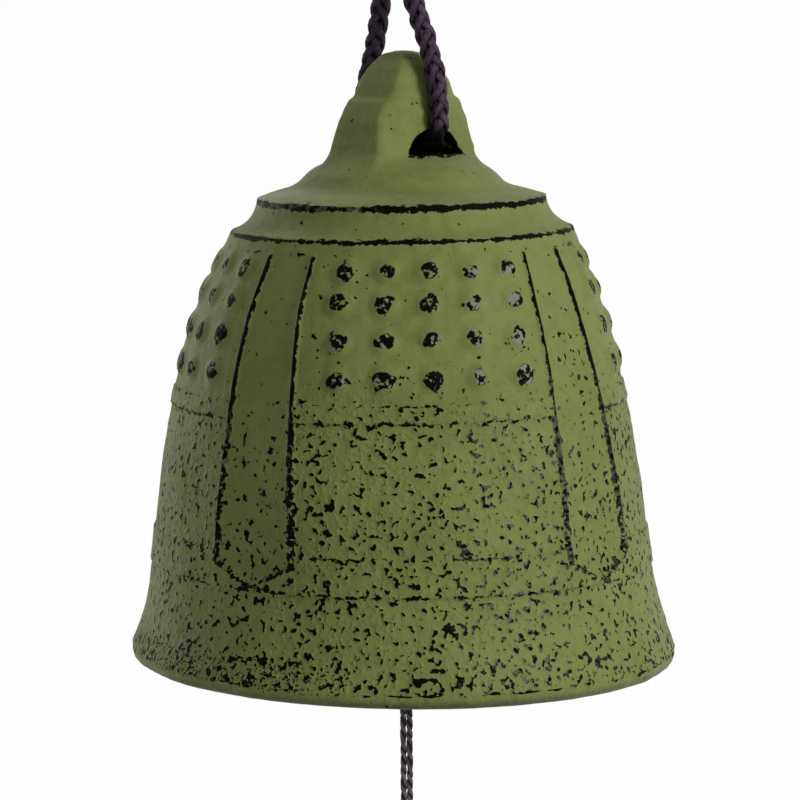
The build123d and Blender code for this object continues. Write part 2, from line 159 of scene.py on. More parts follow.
# Routes of the hanging cord, as (out along the lug's hole, height)
BAIL_ROUTE = [
    (-2.25, -36.4),
    (-3.0, -41.0),
    (-4.6, -51.4),
    (-6.2, -55.4),
    (-7.3, -59.5),
    (-7.0, -64.3),
    (-4.0, -64.8),
    (4.0, -64.8),
    (7.0, -64.3),
    (7.3, -59.5),
    (6.5, -55.4),
    (5.05, -51.4),
    (0.1, -40.9),
    (0.65, -36.4),
]
LOOP_ROUTE = [
    (-2.25, -32.2),
    (-2.25, -25.6),
    (-7.4, -16.0),
    (-8.6, -6.6),
    (-4.5, 1.35),
    (4.5, 1.35),
    (8.0, -6.6),
    (6.2, -16.0),
    (0.65, -25.6),
    (0.65, -32.2),
]
CORD_END_ROUTE = [(2.4, -32.2), (2.75, -26.2), (4.6, -22.4)]
KNOT_OUT = -0.8

# Colours, as the photograph shows them in full light
PAINT_GREEN = (123, 131, 72)
PAINT_GREEN_DARK = (112, 120, 63)
UNDERCOAT = (9, 10, 4)
BARE_IRON = (40, 40, 35)
# The grey of painted highlights, laid on worn black spots where a lamp's glint would fall
PAINTED_GLINT_GREY = (134, 134, 124)
CORD_PLUM = (90, 74, 92)
CORD_PLUM_DARK = (9, 6, 9)
# Near black of the cord where it runs into the lug's hole
CORD_IN_HOLE = (4, 4, 3)
THREAD_GREY = (152, 143, 143)
THREAD_BROWN = (76, 67, 65)

# Colours of the pieces that the photograph doesn't show
LACQUER_BLACK = (30, 29, 28)
LACQUER_RUBBED = (74, 68, 62)
WIRE_GREY = (118, 116, 112)
WIRE_RUST = (84, 62, 46)
PAPER_PALE = (232, 225, 205)
PAPER_CLOUD = (222, 213, 190)
PAPER_FIBRE = (190, 172, 138)


def linear(colour):
    """A colour written in 0 to 255 as the eye sees it, for a shader's socket."""
    values = [c / 255 for c in colour]
    return [v / 12.92 if v <= 0.04045 else ((v + 0.055) / 1.055) ** 2.4 for v in values] + [1.0]


# Meshes

def new_piece(name, points, faces, body, material, uvs=None):
    """A smooth mesh from points in millimetres, riding on a body."""
    mesh = bpy.data.meshes.new(name)
    mesh.from_pydata((np.asarray(points) * MM).tolist(), [], faces)
    mesh.update()
    if uvs is not None:
        layer = mesh.uv_layers.new(name="along")
        corners = np.zeros(len(mesh.loops), np.int32)
        mesh.loops.foreach_get("vertex_index", corners)
        layer.data.foreach_set("uv", np.asarray(uvs, np.float32)[corners].ravel())
    mesh.polygons.foreach_set("use_smooth", [True] * len(mesh.polygons))
    mesh.materials.append(material)
    piece = bpy.data.objects.new(name, mesh)
    bpy.context.scene.collection.objects.link(piece)
    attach(piece, body)
    return piece


def ring_faces(ring_count, side_count, start=0):
    """The quads between rings of points, each ring closed on itself."""
    faces = []
    for ring in range(ring_count - 1):
        for side in range(side_count):
            after = (side + 1) % side_count
            low = start + ring * side_count
            high = low + side_count
            faces.append((low + side, low + after, high + after, high + side))
    return faces


def smooth_step(low, high, value):
    share = np.clip((value - low) / (high - low), 0, 1)
    return share * share * (3 - 2 * share)


def curve_through(places, values, first_slope, last_slope):
    """A smooth cubic curve through a few outline points, with given slopes at its two ends."""
    places = np.array(places, float)
    values = np.array(values, float)
    count = len(places)
    gaps = np.diff(places)
    rises = np.diff(values) / gaps
    matrix = np.eye(count)
    right = np.zeros(count)
    right[0] = first_slope
    right[-1] = last_slope
    for n in range(1, count - 1):
        matrix[n, n - 1:n + 2] = [1 / gaps[n - 1], 2 / gaps[n - 1] + 2 / gaps[n], 1 / gaps[n]]
        right[n] = 3 * (rises[n - 1] / gaps[n - 1] + rises[n] / gaps[n])
    slopes = np.linalg.solve(matrix, right)

    def at(place):
        n = np.clip(np.searchsorted(places, place) - 1, 0, count - 2)
        t = (place - places[n]) / gaps[n]
        from_low = (1 + 2 * t) * (1 - t) ** 2 * values[n] + t * (1 - t) ** 2 * gaps[n] * slopes[n]
        from_high = t * t * (3 - 2 * t) * values[n + 1] + t * t * (t - 1) * gaps[n] * slopes[n + 1]
        return from_low + from_high

    return at


body_radius = curve_through(BODY_UPS, BODY_RADII, LIP_SLOPE, SHOULDER_SLOPE)


# Shape of the casting

def heading(azimuth):
    """A level direction: 0 degrees faces the front, -Y, and 90 degrees the right, +X."""
    turn = np.radians(azimuth)
    return np.stack([np.sin(turn), -np.cos(turn), np.zeros_like(turn)], axis=-1)


OUT = heading(np.array(LUG_AZIMUTH))
ALONG = heading(np.array(LUG_AZIMUTH + 90))
UPWARD = np.array([0.0, 0.0, 1.0])


def turn_from(azimuth, centre):
    """The turn from one azimuth to another, the short way round, in degrees."""
    return (azimuth - centre + 180) % 360 - 180


def band_half_angle(up):
    """Half of a band's width at a height, in degrees: the bands narrow upwards."""
    rise = np.clip((up - BAND_FOOT_UP) / (BAND_TOP_UP - BAND_FOOT_UP), 0, 1)
    return BAND_HALF_ANGLE - BAND_NARROWING * rise


def band_twist(up):
    """How far the bands turn to the right towards their feet, in degrees."""
    return BAND_TWIST * smooth_step(46, 24, up)


def band_turn(azimuth, up):
    """The turn to the middle of the nearest band, in degrees."""
    straight = azimuth - band_twist(up)
    return np.min([np.abs(turn_from(straight, centre)) for centre in BAND_AZIMUTHS], axis=0)


def band_depth(azimuth, up):
    """How far a place lies inside an upright band, in mm; negative outside it."""
    radius = body_radius(np.clip(up, LIP_UP, SHOULDER_UP))
    across = np.radians(band_turn(azimuth, up)) * radius
    half = np.radians(band_half_angle(up)) * radius
    foot_half = math.radians(BAND_HALF_ANGLE) * body_radius(BAND_FOOT_UP)
    tip_up = BAND_FOOT_UP - BAND_POINT
    slant = math.hypot(BAND_POINT, foot_half)
    above_foot = ((up - tip_up) * foot_half - across * BAND_POINT) / slant
    return np.minimum(half - across, above_foot)


def girdle_depth(up):
    """How far a height lies inside the nearest girdle, in mm; negative outside it."""
    depths = [(high - low) / 2 - np.abs(up - (low + high) / 2) for low, high in GIRDLES]
    return np.maximum(*depths)


def nubs():
    """Each nub as (azimuth, height, radius), a little uneven in size and place."""
    draw = np.random.default_rng(7)
    places = []
    for left, right in zip(BAND_AZIMUTHS, BAND_AZIMUTHS[1:] + [BAND_AZIMUTHS[0] + 360]):
        for up, pitch in NUB_ROWS:
            for column in range(NUB_COLUMNS):
                turn = (column - (NUB_COLUMNS - 1) / 2) * pitch + 0.25 * draw.uniform(-1, 1)
                size = NUB_R * (1 + 0.09 * draw.uniform(-1, 1))
                places.append(((left + right) / 2 + NUB_TURN + turn, up + 0.14 * draw.uniform(-1, 1), size))
    return places


def nub_share(azimuth, up):
    """Distance from the nearest nub's middle, as a share of that nub's radius."""
    nearest = np.full(np.shape(up), 9.0)
    step = 0.2
    for nub_azimuth, nub_up, nub_r in nubs():
        lean = (body_radius(nub_up - step) - body_radius(nub_up + step)) / (2 * step)
        across = np.radians(turn_from(azimuth, nub_azimuth)) * body_radius(nub_up)
        down = (up - nub_up) * math.hypot(1, lean)
        nearest = np.minimum(nearest, np.hypot(across, down) / nub_r)
    return nearest


def relief(azimuth, up):
    """How far the body stands out from its plain turned form."""
    depth = band_depth(azimuth, up)
    below_top = smooth_step(BAND_TOP_UP + 0.3, BAND_TOP_UP - 0.3, up)
    ribs = RIB_RELIEF * smooth_step(RIB_FOOT_HALF, RIB_TOP_HALF, np.abs(depth)) * below_top
    edge_cos = np.cos(np.radians(band_half_angle(up)))
    turn_cos = np.cos(np.radians(np.minimum(band_turn(azimuth, up), band_half_angle(up))))
    flat = body_radius(up) * (edge_cos / turn_cos - 1) * smooth_step(0, 1.2, depth) * below_top
    girdles = GIRDLE_RELIEF * smooth_step(-0.14, 0.14, girdle_depth(up)) * smooth_step(0.1, -0.3, depth)
    share = nub_share(azimuth, up)
    dome = NUB_HEIGHT * np.sqrt(np.clip(1 - share ** 2, 0, 1))
    skirt = 0.16 * smooth_step(1.4, 0.9, share)
    return flat + np.maximum(np.maximum(ribs, girdles), np.maximum(dome, skirt))


def waves(points, count, longest, shortest, seed):
    """A smooth uneven field over points, from -1 to 1, made of waves of random direction."""
    draw = np.random.default_rng(seed)
    total = np.zeros(len(points))
    for _ in range(count):
        way = draw.normal(size=3)
        way = way / np.linalg.norm(way)
        length = draw.uniform(shortest, longest)
        total += np.sin(points @ way * 2 * np.pi / length + draw.uniform(0, 2 * np.pi))
    return total / count ** 0.5


def lug_slice(rise):
    """Half length, half thickness at the ends and at the middle, and shift, with softened corners."""
    rises = [s[0] for s in LUG_SLICES]
    near = rise + np.array([-0.14, -0.07, 0, 0.07, 0.14]) * smooth_step(0, 0.8, rises[-1] - rise)
    return [np.mean(np.interp(near, rises, [s[n] for s in LUG_SLICES])) for n in (1, 2, 3, 4)]


def lug_radius(azimuth, rise):
    """Radius of the lug's level slice: straight ends and bowed faces, with rounded corners."""
    length, end, middle, _ = lug_slice(rise)
    turn = np.radians(azimuth - LUG_AZIMUTH - 90)
    cos = np.abs(np.cos(turn)) + 1e-9
    sin = np.abs(np.sin(turn)) + 1e-9
    bow = (middle - end) * cos ** 2 / length ** 2
    to_face = 2 * middle / (sin + np.sqrt(sin ** 2 + 4 * bow * middle))
    to_end = length / cos
    return (to_face ** -LUG_ROUNDING + to_end ** -LUG_ROUNDING) ** (-1 / LUG_ROUNDING)


def hollow_arc(start, end, hollow, count):
    """Rows of a turned arc that bends towards the axis and down, without its first point."""
    start = np.array(start)
    end = np.array(end)
    along = (end - start) / np.linalg.norm(end - start)
    inward = np.array([-along[1], along[0]])
    rows = []
    for t in np.linspace(0, 1, count + 1)[1:]:
        rows.append(start + (end - start) * t + inward * hollow * 4 * t * (1 - t))
    return rows


def spaced(breaks, step):
    """Heights from the first break to the last, no further apart than step, with each break kept."""
    heights = [breaks[0]]
    for low, high in zip(breaks, breaks[1:]):
        parts = math.ceil((high - low) / step)
        heights.extend(np.linspace(low, high, parts + 1)[1:])
    return heights


def columns(up):
    """Azimuths of the casting's columns at a height: they run along the ribs of the bands."""
    half = band_half_angle(up)
    rib = np.array(RIB_COLUMNS)
    edge = rib[-1]
    turns = []
    for left, right in zip(BAND_AZIMUTHS, BAND_AZIMUTHS[1:] + [BAND_AZIMUTHS[0] + 360]):
        turns.extend(left - half + rib)
        turns.extend(np.linspace(left - half + edge, left + half - edge, BAND_COLUMNS)[1:-1])
        turns.extend(left + half + rib)
        turns.extend(np.linspace(left + half + edge, right - half - edge, PANEL_COLUMNS)[1:-1])
    return np.array(turns) + band_twist(up)


def casting_rows():
    """The casting's rows, down the inside and up the outside, each as (azimuths, radii, heights)."""
    low_columns = columns(BAND_FOOT_UP)
    top_columns = columns(BAND_TOP_UP)
    plain = np.ones_like(low_columns)
    rows = []
    inside_r = [MOUTH_R] + [r - WALL for r in BODY_RADII[1:]] + [0.0]
    inside_up = [0.0] + BODY_UPS[1:-1] + [SHOULDER_UP + WALL * SHOULDER_SLOPE, CEILING_UP]
    places = run_lengths(np.stack([inside_r, inside_up], axis=1))
    radius_at = curve_through(places, inside_r, 0.0, -1.0)
    up_at = curve_through(places, inside_up, 1.0, 0.0)
    for place in np.linspace(places[-1], 0, 44)[1:]:
        rows.append((low_columns, radius_at(place) * plain, up_at(place) * plain))
    for a in np.radians([0, 30, 55, 75, 90]):
        radius = FOOT_R + (LIP_R - FOOT_R) * np.sin(a)
        rows.append((low_columns, radius * plain, LIP_UP * (1 - np.cos(a)) * plain))
    edge = 0.16
    (foot_low, foot_high), (girdle_low, girdle_high) = GIRDLES
    skirt = spaced([LIP_UP, foot_low - edge], PLAIN_STEP)
    feet = spaced([foot_low - edge, foot_low + edge, foot_high - edge, foot_high + edge], POINT_STEP)
    panels = spaced([foot_high + edge, girdle_low - edge, girdle_low + edge, girdle_high - edge], PLAIN_STEP)
    chest = spaced([girdle_high - edge, girdle_high + edge, BAND_TOP_UP, SHOULDER_UP], NUB_STEP)
    for up in skirt[1:] + feet[1:] + panels[1:] + chest[1:]:
        azimuth = columns(up)
        rows.append((azimuth, body_radius(up) + relief(azimuth, up * plain), up * plain))
    for radius, up in hollow_arc((SHOULDER_R, SHOULDER_UP), (STEP_R, STEP_UP), STEP_HOLLOW, 12):
        rows.append((top_columns, radius * plain, up * plain))
    crown = np.array(CROWN_OUTLINE)
    places = run_lengths(crown)
    crown_r = curve_through(places, crown[:, 0], -0.95, -0.78)
    crown_up = curve_through(places, crown[:, 1], 0.3, 0.62)
    for place in np.linspace(0, places[-1], 20)[1:]:
        rows.append((top_columns, crown_r(place) * plain, crown_up(place) * plain))
    # The crown sweeps up into the lug, in a wide bend against its faces and a steep one at its ends
    crown_edge, crown_edge_up = CROWN_OUTLINE[-1]
    lug_foot = lug_radius(top_columns, LUG_FILLET)
    lead = 0.4 * (crown_edge - lug_foot)
    for t in np.linspace(0, 1, 22)[1:]:
        shares = [(1 - t) ** 3, 3 * t * (1 - t) ** 2, 3 * t * t * (1 - t), t ** 3]
        radii = [crown_edge, crown_edge - 0.78 * lead, lug_foot + 0.3, lug_foot]
        ups = [crown_edge_up, crown_edge_up + 0.62 * lead, CROWN_UP - 0.2, CROWN_UP + LUG_FILLET]
        radius = sum(share * r for share, r in zip(shares, radii))
        rows.append((top_columns, radius, sum(share * up for share, up in zip(shares, ups)) * plain))
    rises = spaced([LUG_FILLET] + [s[0] for s in LUG_SLICES[1:]], LUG_STEP)
    for rise in rises[1:]:
        rows.append((top_columns, lug_radius(top_columns, rise), (CROWN_UP + rise) * plain))
    return rows


def tilted(places, up):
    """How far a place is lifted, because the casting's rim and rings aren't quite square to its axis."""
    heights = [0, BODY_TILT_UP, STEP_UP, CROWN_OUTLINE[-2][1]]
    across, back = [np.interp(up, heights, [RIM_TILT[n], BODY_TILT[n], BODY_TILT[n], 0]) for n in (0, 1)]
    return across * places[:, 0] + back * places[:, 1]


def lean(up):
    """How far the body stands to the right of its rim and its crown, in mm."""
    return BODY_LEAN * smooth_step(6, 28, up) * smooth_step(60, 50, up)


def casting_mesh():
    """Points and faces of the whole casting as one closed skin, without the hole."""
    rows = casting_rows()
    side_count = len(rows[0][0])
    points = []
    for azimuth, radius, up in rows:
        ways = heading(azimuth)
        rise = up.mean() - CROWN_UP
        level = ways * radius[:, None] + ALONG * lug_slice(rise)[3] * smooth_step(0, LUG_FILLET, rise)
        rough = 0.10 - 0.06 * smooth_step(SHOULDER_UP, STEP_UP, up)
        place = level + UPWARD * (RIM_Z + up + tilted(level, up))[:, None]
        swell = rough * waves(place, count=18, longest=16, shortest=6, seed=3)
        swell = swell + 0.035 * waves(place, count=24, longest=3.2, shortest=1.4, seed=5)
        points.append(place + ways * swell[:, None] + np.outer(lean(up), [1, 0, 0]))
    points = np.concatenate(points)
    ceiling = len(points)
    peak = ceiling + 1
    tops = np.array([[0, 0, RIM_Z + CEILING_UP], [0, 0, RIM_Z + CROWN_UP + LUG_SLICES[-1][0] + 0.05]])
    faces = ring_faces(len(rows), side_count)
    last = (len(rows) - 1) * side_count
    for side in range(side_count):
        after = (side + 1) % side_count
        faces.append((ceiling, after, side))
        faces.append((peak, last + side, last + after))
    return np.concatenate([points, tops]), faces


def hole_half_width(out, share):
    """Half width of the hole at a share of its height: it narrows upwards and flares at its mouths."""
    floor_half = HOLE_HALF_WIDTH + HOLE_FLARE * smooth_step(3.6, 7.4, np.abs(out))
    return floor_half * (1 - 0.36 * share) * np.sqrt(np.clip(1 - share ** 5, 0, 1))


def hole_top(out):
    return HOLE_TOP_UP + 0.2 * HOLE_FLARE * smooth_step(4.4, 7.0, np.abs(out))


def hole_mesh():
    """Points and faces of what is cut out of the lug for the cord: an arched tunnel with wide mouths."""
    reach = 13.0
    outs = np.linspace(-reach, reach, 53)
    shares = np.sin(np.linspace(0, np.pi / 2, 13))
    points = []
    for out in outs:
        half = hole_half_width(out, shares)
        ups = HOLE_FLOOR_UP + (hole_top(out) - HOLE_FLOOR_UP) * shares
        right = np.stack([half, ups], axis=1)
        left = np.stack([-half, ups], axis=1)[-2::-1]
        floor = np.stack([np.linspace(-half[0], half[0], 13)[1:-1], np.full(11, HOLE_FLOOR_UP)], axis=1)
        section = np.concatenate([right, left, floor])
        points.append(OUT * out + ALONG * (HOLE_SHIFT + section[:, :1]) + UPWARD * (RIM_Z + section[:, 1:]))
    side_count = len(points[0])
    points = np.concatenate(points)
    rough = 0.13 * waves(points, 16, 3.6, 1.2, 11)
    points = points + UPWARD * rough[:, None] + ALONG * 0.13 * waves(points, 16, 3.6, 1.2, 12)[:, None]
    faces = ring_faces(len(outs), side_count)
    faces.append(tuple(reversed(range(side_count))))
    faces.append(tuple(range(len(points) - side_count, len(points))))
    return points, faces


def cut_hole(piece):
    """Cuts the cord's hole through the lug."""
    points, faces = hole_mesh()
    mesh = bpy.data.meshes.new("hole_tool")
    mesh.from_pydata((points * MM).tolist(), [], faces)
    tool = bpy.data.objects.new("hole_tool", mesh)
    bpy.context.scene.collection.objects.link(tool)
    cut = piece.modifiers.new("hole", "BOOLEAN")
    cut.operation = "DIFFERENCE"
    cut.solver = "EXACT"
    cut.object = tool
    bpy.context.view_layer.update()
    ready = piece.evaluated_get(bpy.context.evaluated_depsgraph_get())
    shaped = bpy.data.meshes.new_from_object(ready)
    piece.modifiers.clear()
    piece.data = shaped
    bpy.data.objects.remove(tool)


def mark_wear(mesh):
    """Stores each point's distances, in mm, to the edges that the paint is rubbed off."""
    places = np.zeros(len(mesh.vertices) * 3, np.float32)
    mesh.vertices.foreach_get("co", places)
    places = places.reshape(-1, 3).astype(float) / MM
    up = places[:, 2] - RIM_Z
    up = up - tilted(places, up)
    across = places[:, 0] - lean(up)
    radius = np.hypot(across, places[:, 1])
    azimuth = np.degrees(np.arctan2(across, -places[:, 1]))
    outline_ups = BODY_UPS + [crown_up for _, crown_up in CROWN_OUTLINE]
    outer_r = np.interp(up, outline_ups, BODY_RADII + [crown_r for crown_r, _ in CROWN_OUTLINE])
    inside = (up < CEILING_UP + 0.4) & (radius < outer_r - 0.7 * WALL)
    out = places @ OUT
    share = np.clip((up - HOLE_FLOOR_UP) / (hole_top(out) - HOLE_FLOOR_UP), 0, 1)
    beside = np.abs(places @ ALONG - HOLE_SHIFT) - hole_half_width(out, share)
    hole = np.maximum(np.maximum(beside, HOLE_FLOOR_UP - up), up - hole_top(out))
    depth = band_depth(azimuth, up)
    marks = {
        "shoulder_edge": up - SHOULDER_UP,
        "step_edge": up - STEP_UP,
        "band_edge": depth,
        "girdle_edge": np.where(depth > 0, -9, girdle_depth(up)),
        "band_top": BAND_TOP_UP - up,
        "nub_share": nub_share(azimuth, up),
        "height_up": up,
        "inside": inside.astype(float),
        "hole_edge": np.clip(hole, -9, 9),
    }
    for name, values in marks.items():
        layer = mesh.attributes.new(name, "FLOAT", "POINT")
        layer.data.foreach_set("value", values.astype(np.float32))


# Materials

class Finish:
    """A node material. Each method adds one node and returns its output."""

    def __init__(self, name):
        self.material = bpy.data.materials.new(name)
        self.material.use_nodes = True
        self.tree = self.material.node_tree
        self.shader = self.tree.nodes["Principled BSDF"]

    def feed(self, socket, value):
        if isinstance(value, bpy.types.NodeSocket):
            self.tree.links.new(value, socket)
        else:
            socket.default_value = value

    def add(self, kind, inputs, output=0, **settings):
        node = self.tree.nodes.new(kind)
        for name, value in settings.items():
            setattr(node, name, value)
        for key, value in inputs.items():
            self.feed(node.inputs[key], value)
        return node.outputs[output]

    def set(self, **inputs):
        for name, value in inputs.items():
            self.feed(self.shader.inputs[name.replace("_", " ")], value)

    def place(self):
        """Object coordinates in millimetres."""
        here = self.add("ShaderNodeTexCoord", {}, output="Object")
        return self.add("ShaderNodeVectorMath", {0: here, "Scale": 1 / MM}, operation="SCALE")

    def mark(self, name):
        return self.add("ShaderNodeAttribute", {}, output="Fac", attribute_name=name)

    def math(self, operation, *values):
        return self.add("ShaderNodeMath", dict(enumerate(values)), operation=operation)

    def plus(self, first, second):
        return self.math("ADD", first, second)

    def minus(self, first, second):
        return self.math("SUBTRACT", first, second)

    def times(self, first, second):
        return self.math("MULTIPLY", first, second)

    def scaled(self, value, factor, offset):
        return self.math("MULTIPLY_ADD", value, factor, offset)

    def noise(self, place, size, detail=2.0, roughness=0.5, distortion=0.0):
        inputs = {"Vector": place, "Scale": 1 / size, "Detail": detail, "Roughness": roughness,
                  "Distortion": distortion}
        return self.add("ShaderNodeTexNoise", inputs)

    def stretched(self, place, factors):
        return self.add("ShaderNodeMapping", {"Vector": place, "Scale": factors})

    def ramp(self, value, low, high, to_low=0.0, to_high=1.0, smooth=True):
        inputs = {"Value": value, "From Min": low, "From Max": high, "To Min": to_low, "To Max": to_high}
        kind = "SMOOTHSTEP" if smooth else "LINEAR"
        return self.add("ShaderNodeMapRange", inputs, interpolation_type=kind)

    def most(self, *values):
        total = values[0]
        for value in values[1:]:
            total = self.math("MAXIMUM", total, value)
        return total

    def blend(self, share, first, second):
        inputs = {0: share, 6: first, 7: second}
        return self.add("ShaderNodeMix", inputs, output=2, data_type="RGBA")

    def bump(self, height):
        """A bump from a height in millimetres."""
        return self.add("ShaderNodeBump", {"Height": height, "Distance": MM, "Strength": 1.0})


def painted_iron():
    """Matt green paint over a black undercoat, rubbed through on edges, nubs and grains, with grey painted
    highlights on some of the worn spots.
    """
    finish = Finish("painted_iron")
    place = finish.place()
    up = finish.mark("height_up")
    ragged = finish.minus(finish.noise(place, 1.0, 3.0, 0.6, 0.3), 0.5)
    broken = finish.minus(finish.noise(place, 6.0, 2.0, 0.5), 0.5)
    lower = finish.ramp(up, 42.0, 20.0)

    def line(distance, middle, half, raggedness, breaks):
        """A worn line along an edge, as a share of 0 to 1."""
        away = finish.math("ABSOLUTE", finish.minus(distance, middle))
        width = finish.scaled(ragged, raggedness, half)
        width = finish.scaled(broken, breaks, width)
        return finish.ramp(finish.minus(width, away), -0.04, 0.05)

    band_edge = finish.mark("band_edge")
    step = line(finish.mark("step_edge"), -0.34, 0.38, 1.3, 0.9)
    shoulder = line(finish.mark("shoulder_edge"), -0.22, 0.29, 1.2, 0.7)
    rings = finish.most(step, shoulder, line(finish.mark("band_top"), -0.1, -0.22, 2.2, 1.2))
    long_noise = finish.noise(finish.stretched(place, (0.45, 0.45, 1.8)), 1.2, 2.0, 0.5)
    lip_half = finish.scaled(long_noise, 2.6, -1.42)
    lip_away = finish.math("ABSOLUTE", finish.minus(up, LIP_UP - 0.15))
    lip_dashes = finish.ramp(finish.minus(lip_half, lip_away), -0.04, 0.05)
    foot = finish.ramp(up, BAND_FOOT_UP + 0.8, BAND_FOOT_UP - 0.6)
    band_ragged = finish.scaled(lower, 1.5, 0.8)
    band_breaks = finish.scaled(lower, 0.5, 0.2)
    band_half = finish.scaled(foot, -0.40, finish.scaled(lower, 0.26, 0.33))
    bands = line(band_edge, 0.03, band_half, band_ragged, band_breaks)
    bands = finish.times(bands, finish.ramp(finish.mark("band_top"), -0.1, 0.2))
    islands = finish.times(finish.ramp(finish.noise(place, 0.7, 2.0, 0.5), 0.54, 0.60), lower)
    bands = finish.minus(bands, finish.times(bands, islands))
    girdle_half = finish.plus(finish.ramp(up, 36.8, 37.4, 0.06, -0.10),
                              finish.ramp(up, 30.0, 24.0, 0.0, -0.08))
    girdles = line(finish.mark("girdle_edge"), 0.1, girdle_half, 2.4, 0.9)

    nub_noise = finish.minus(finish.noise(place, 1.7, 1.5, 0.5, 0.2), 0.5)
    cap = finish.scaled(nub_noise, 1.2, 0.60)
    cap = finish.scaled(broken, 0.5, cap)
    cap = finish.plus(cap, finish.ramp(up, 53.0, 46.0, 0.0, 0.14))
    nubs_worn = finish.ramp(finish.minus(cap, finish.mark("nub_share")), -0.03, 0.06)
    left_over = finish.ramp(finish.noise(place, 0.7, 2.0, 0.6), 0.58, 0.64)
    nubs_worn = finish.minus(nubs_worn, finish.times(nubs_worn, left_over))
    across = finish.add("ShaderNodeSeparateXYZ", {0: place}, output="X")
    # Painted highlight: grey patches on the nub caps, more of them towards the front right, where the lamp's
    # glint falls
    glint_side = finish.plus(finish.ramp(across, 3.0, 15.0, 0.0, 0.10),
                              finish.ramp(across, 17.0, 20.0, 0.0, -0.14))
    glint_noise = finish.plus(finish.noise(place, 0.9, 2.0, 0.5), glint_side)
    nub_glints = finish.times(nubs_worn, finish.ramp(glint_noise, 0.57, 0.64))

    grains = finish.noise(place, 0.85, 0.9, 0.5, 0.25)
    sparse = finish.plus(finish.ramp(up, 34.0, 41.0, 0.0, 0.10), finish.ramp(up, 41.0, 58.0, 0.0, 0.05))
    on_band = finish.times(finish.ramp(band_edge, 0.4, 1.2), finish.ramp(up, 14.0, 30.0, 0.005, 0.045))
    near_rim = finish.plus(finish.ramp(up, 1.4, 2.2, 0.2, 0.0), finish.ramp(up, 7.0, 3.5, 0.0, -0.032))
    left_side = finish.ramp(across, -16.0, -26.0, 0.598, 0.617)
    limit = finish.plus(finish.plus(sparse, on_band), finish.plus(near_rim, left_side))
    limit = finish.scaled(broken, -0.08, limit)
    right_band = finish.times(finish.ramp(band_edge, 1.2, 2.2), finish.ramp(across, 14.0, 18.0))
    limit = finish.scaled(right_band, finish.ramp(up, 34.0, 40.0, 0.0, -0.085), limit)
    over = finish.minus(grains, limit)
    below_shoulder = finish.ramp(up, SHOULDER_UP, SHOULDER_UP - 3.0)
    specks = finish.times(finish.ramp(over, 0.0, 0.03), below_shoulder)
    left_rim = finish.times(finish.ramp(up, 8.0, 4.5), finish.ramp(across, 2.0, -10.0))
    fine_limit = finish.scaled(left_rim, -0.42, 1.0)
    fine_over = finish.minus(finish.noise(place, 0.42, 1.0, 0.5, 0.3), fine_limit)
    fine_specks = finish.times(finish.ramp(fine_over, 0.0, 0.03), finish.ramp(up, 1.2, 2.0))
    specks = finish.most(specks, fine_specks)
    pits = finish.ramp(finish.noise(place, 0.8, 0.5, 0.5, 0.2), 0.77, 0.785)

    lip_edge = finish.minus(finish.scaled(ragged, 1.4, 0.95), up)
    lip = finish.ramp(lip_edge, -0.6, 0.5)
    # Painted highlight: grey on specks and band and girdle lines right of the front, and on the left part of
    # the step line
    speck_glint_side = finish.minus(finish.ramp(across, 5.0, 13.0), finish.ramp(across, 17.0, 25.0, 0.0, 0.7))
    speck_glint_share = finish.times(finish.ramp(finish.noise(place, 0.6, 2.0, 0.5), 0.47, 0.56), speck_glint_side)
    speck_glint_share = finish.times(speck_glint_share, finish.ramp(up, 44.0, 38.0, 0.0, 0.5))
    speck_glints = finish.times(finish.most(specks, girdles, bands), speck_glint_share)
    step_glint_side = finish.times(step, finish.ramp(across, -2.0, -7.0, 0.0, 0.4))
    step_glints = finish.times(step_glint_side, finish.ramp(finish.noise(place, 1.1, 2.0, 0.6), 0.45, 0.60))
    painted_glints = finish.most(nub_glints, speck_glints, step_glints)
    hole_gap = finish.scaled(ragged, 1.4, 0.25)
    hole = finish.ramp(finish.minus(hole_gap, finish.mark("hole_edge")), -0.05, 0.08)

    worn = finish.most(rings, lip_dashes, bands, girdles, nubs_worn, specks, pits, hole)
    clouds = finish.plus(finish.noise(place, 14.0, 2.0, 0.5), finish.noise(place, 1.6, 3.0, 0.6))
    green = finish.blend(finish.ramp(clouds, 0.75, 1.25), linear(PAINT_GREEN), linear(PAINT_GREEN_DARK))
    painted = finish.blend(worn, green, linear(UNDERCOAT))
    # The painted highlights are laid over the paint and the black
    painted = finish.blend(painted_glints, painted, linear(PAINTED_GLINT_GREY))
    bare = finish.most(finish.mark("inside"), finish.times(lip, 0.6))
    finish.set(Base_Color=finish.blend(bare, painted, linear(BARE_IRON)))
    finish.set(Roughness=finish.ramp(worn, 0.0, 1.0, 0.68, 0.5))
    finish.set(Specular_IOR_Level=finish.ramp(worn, 0.0, 1.0, 0.2, 0.02))
    finish.set(Sheen_Weight=finish.ramp(worn, 0.0, 1.0, 0.2, 0.0), Sheen_Roughness=0.35)

    raised = finish.times(finish.ramp(over, -0.20, 0.05, 0.0, 0.09), finish.ramp(up, 48.0, 36.0))
    skin = finish.scaled(finish.noise(place, 0.5, 2.0, 0.6), 0.075, raised)
    rubbed = finish.scaled(worn, -0.03, skin)
    finish.set(Normal=finish.bump(rubbed))
    return finish.material


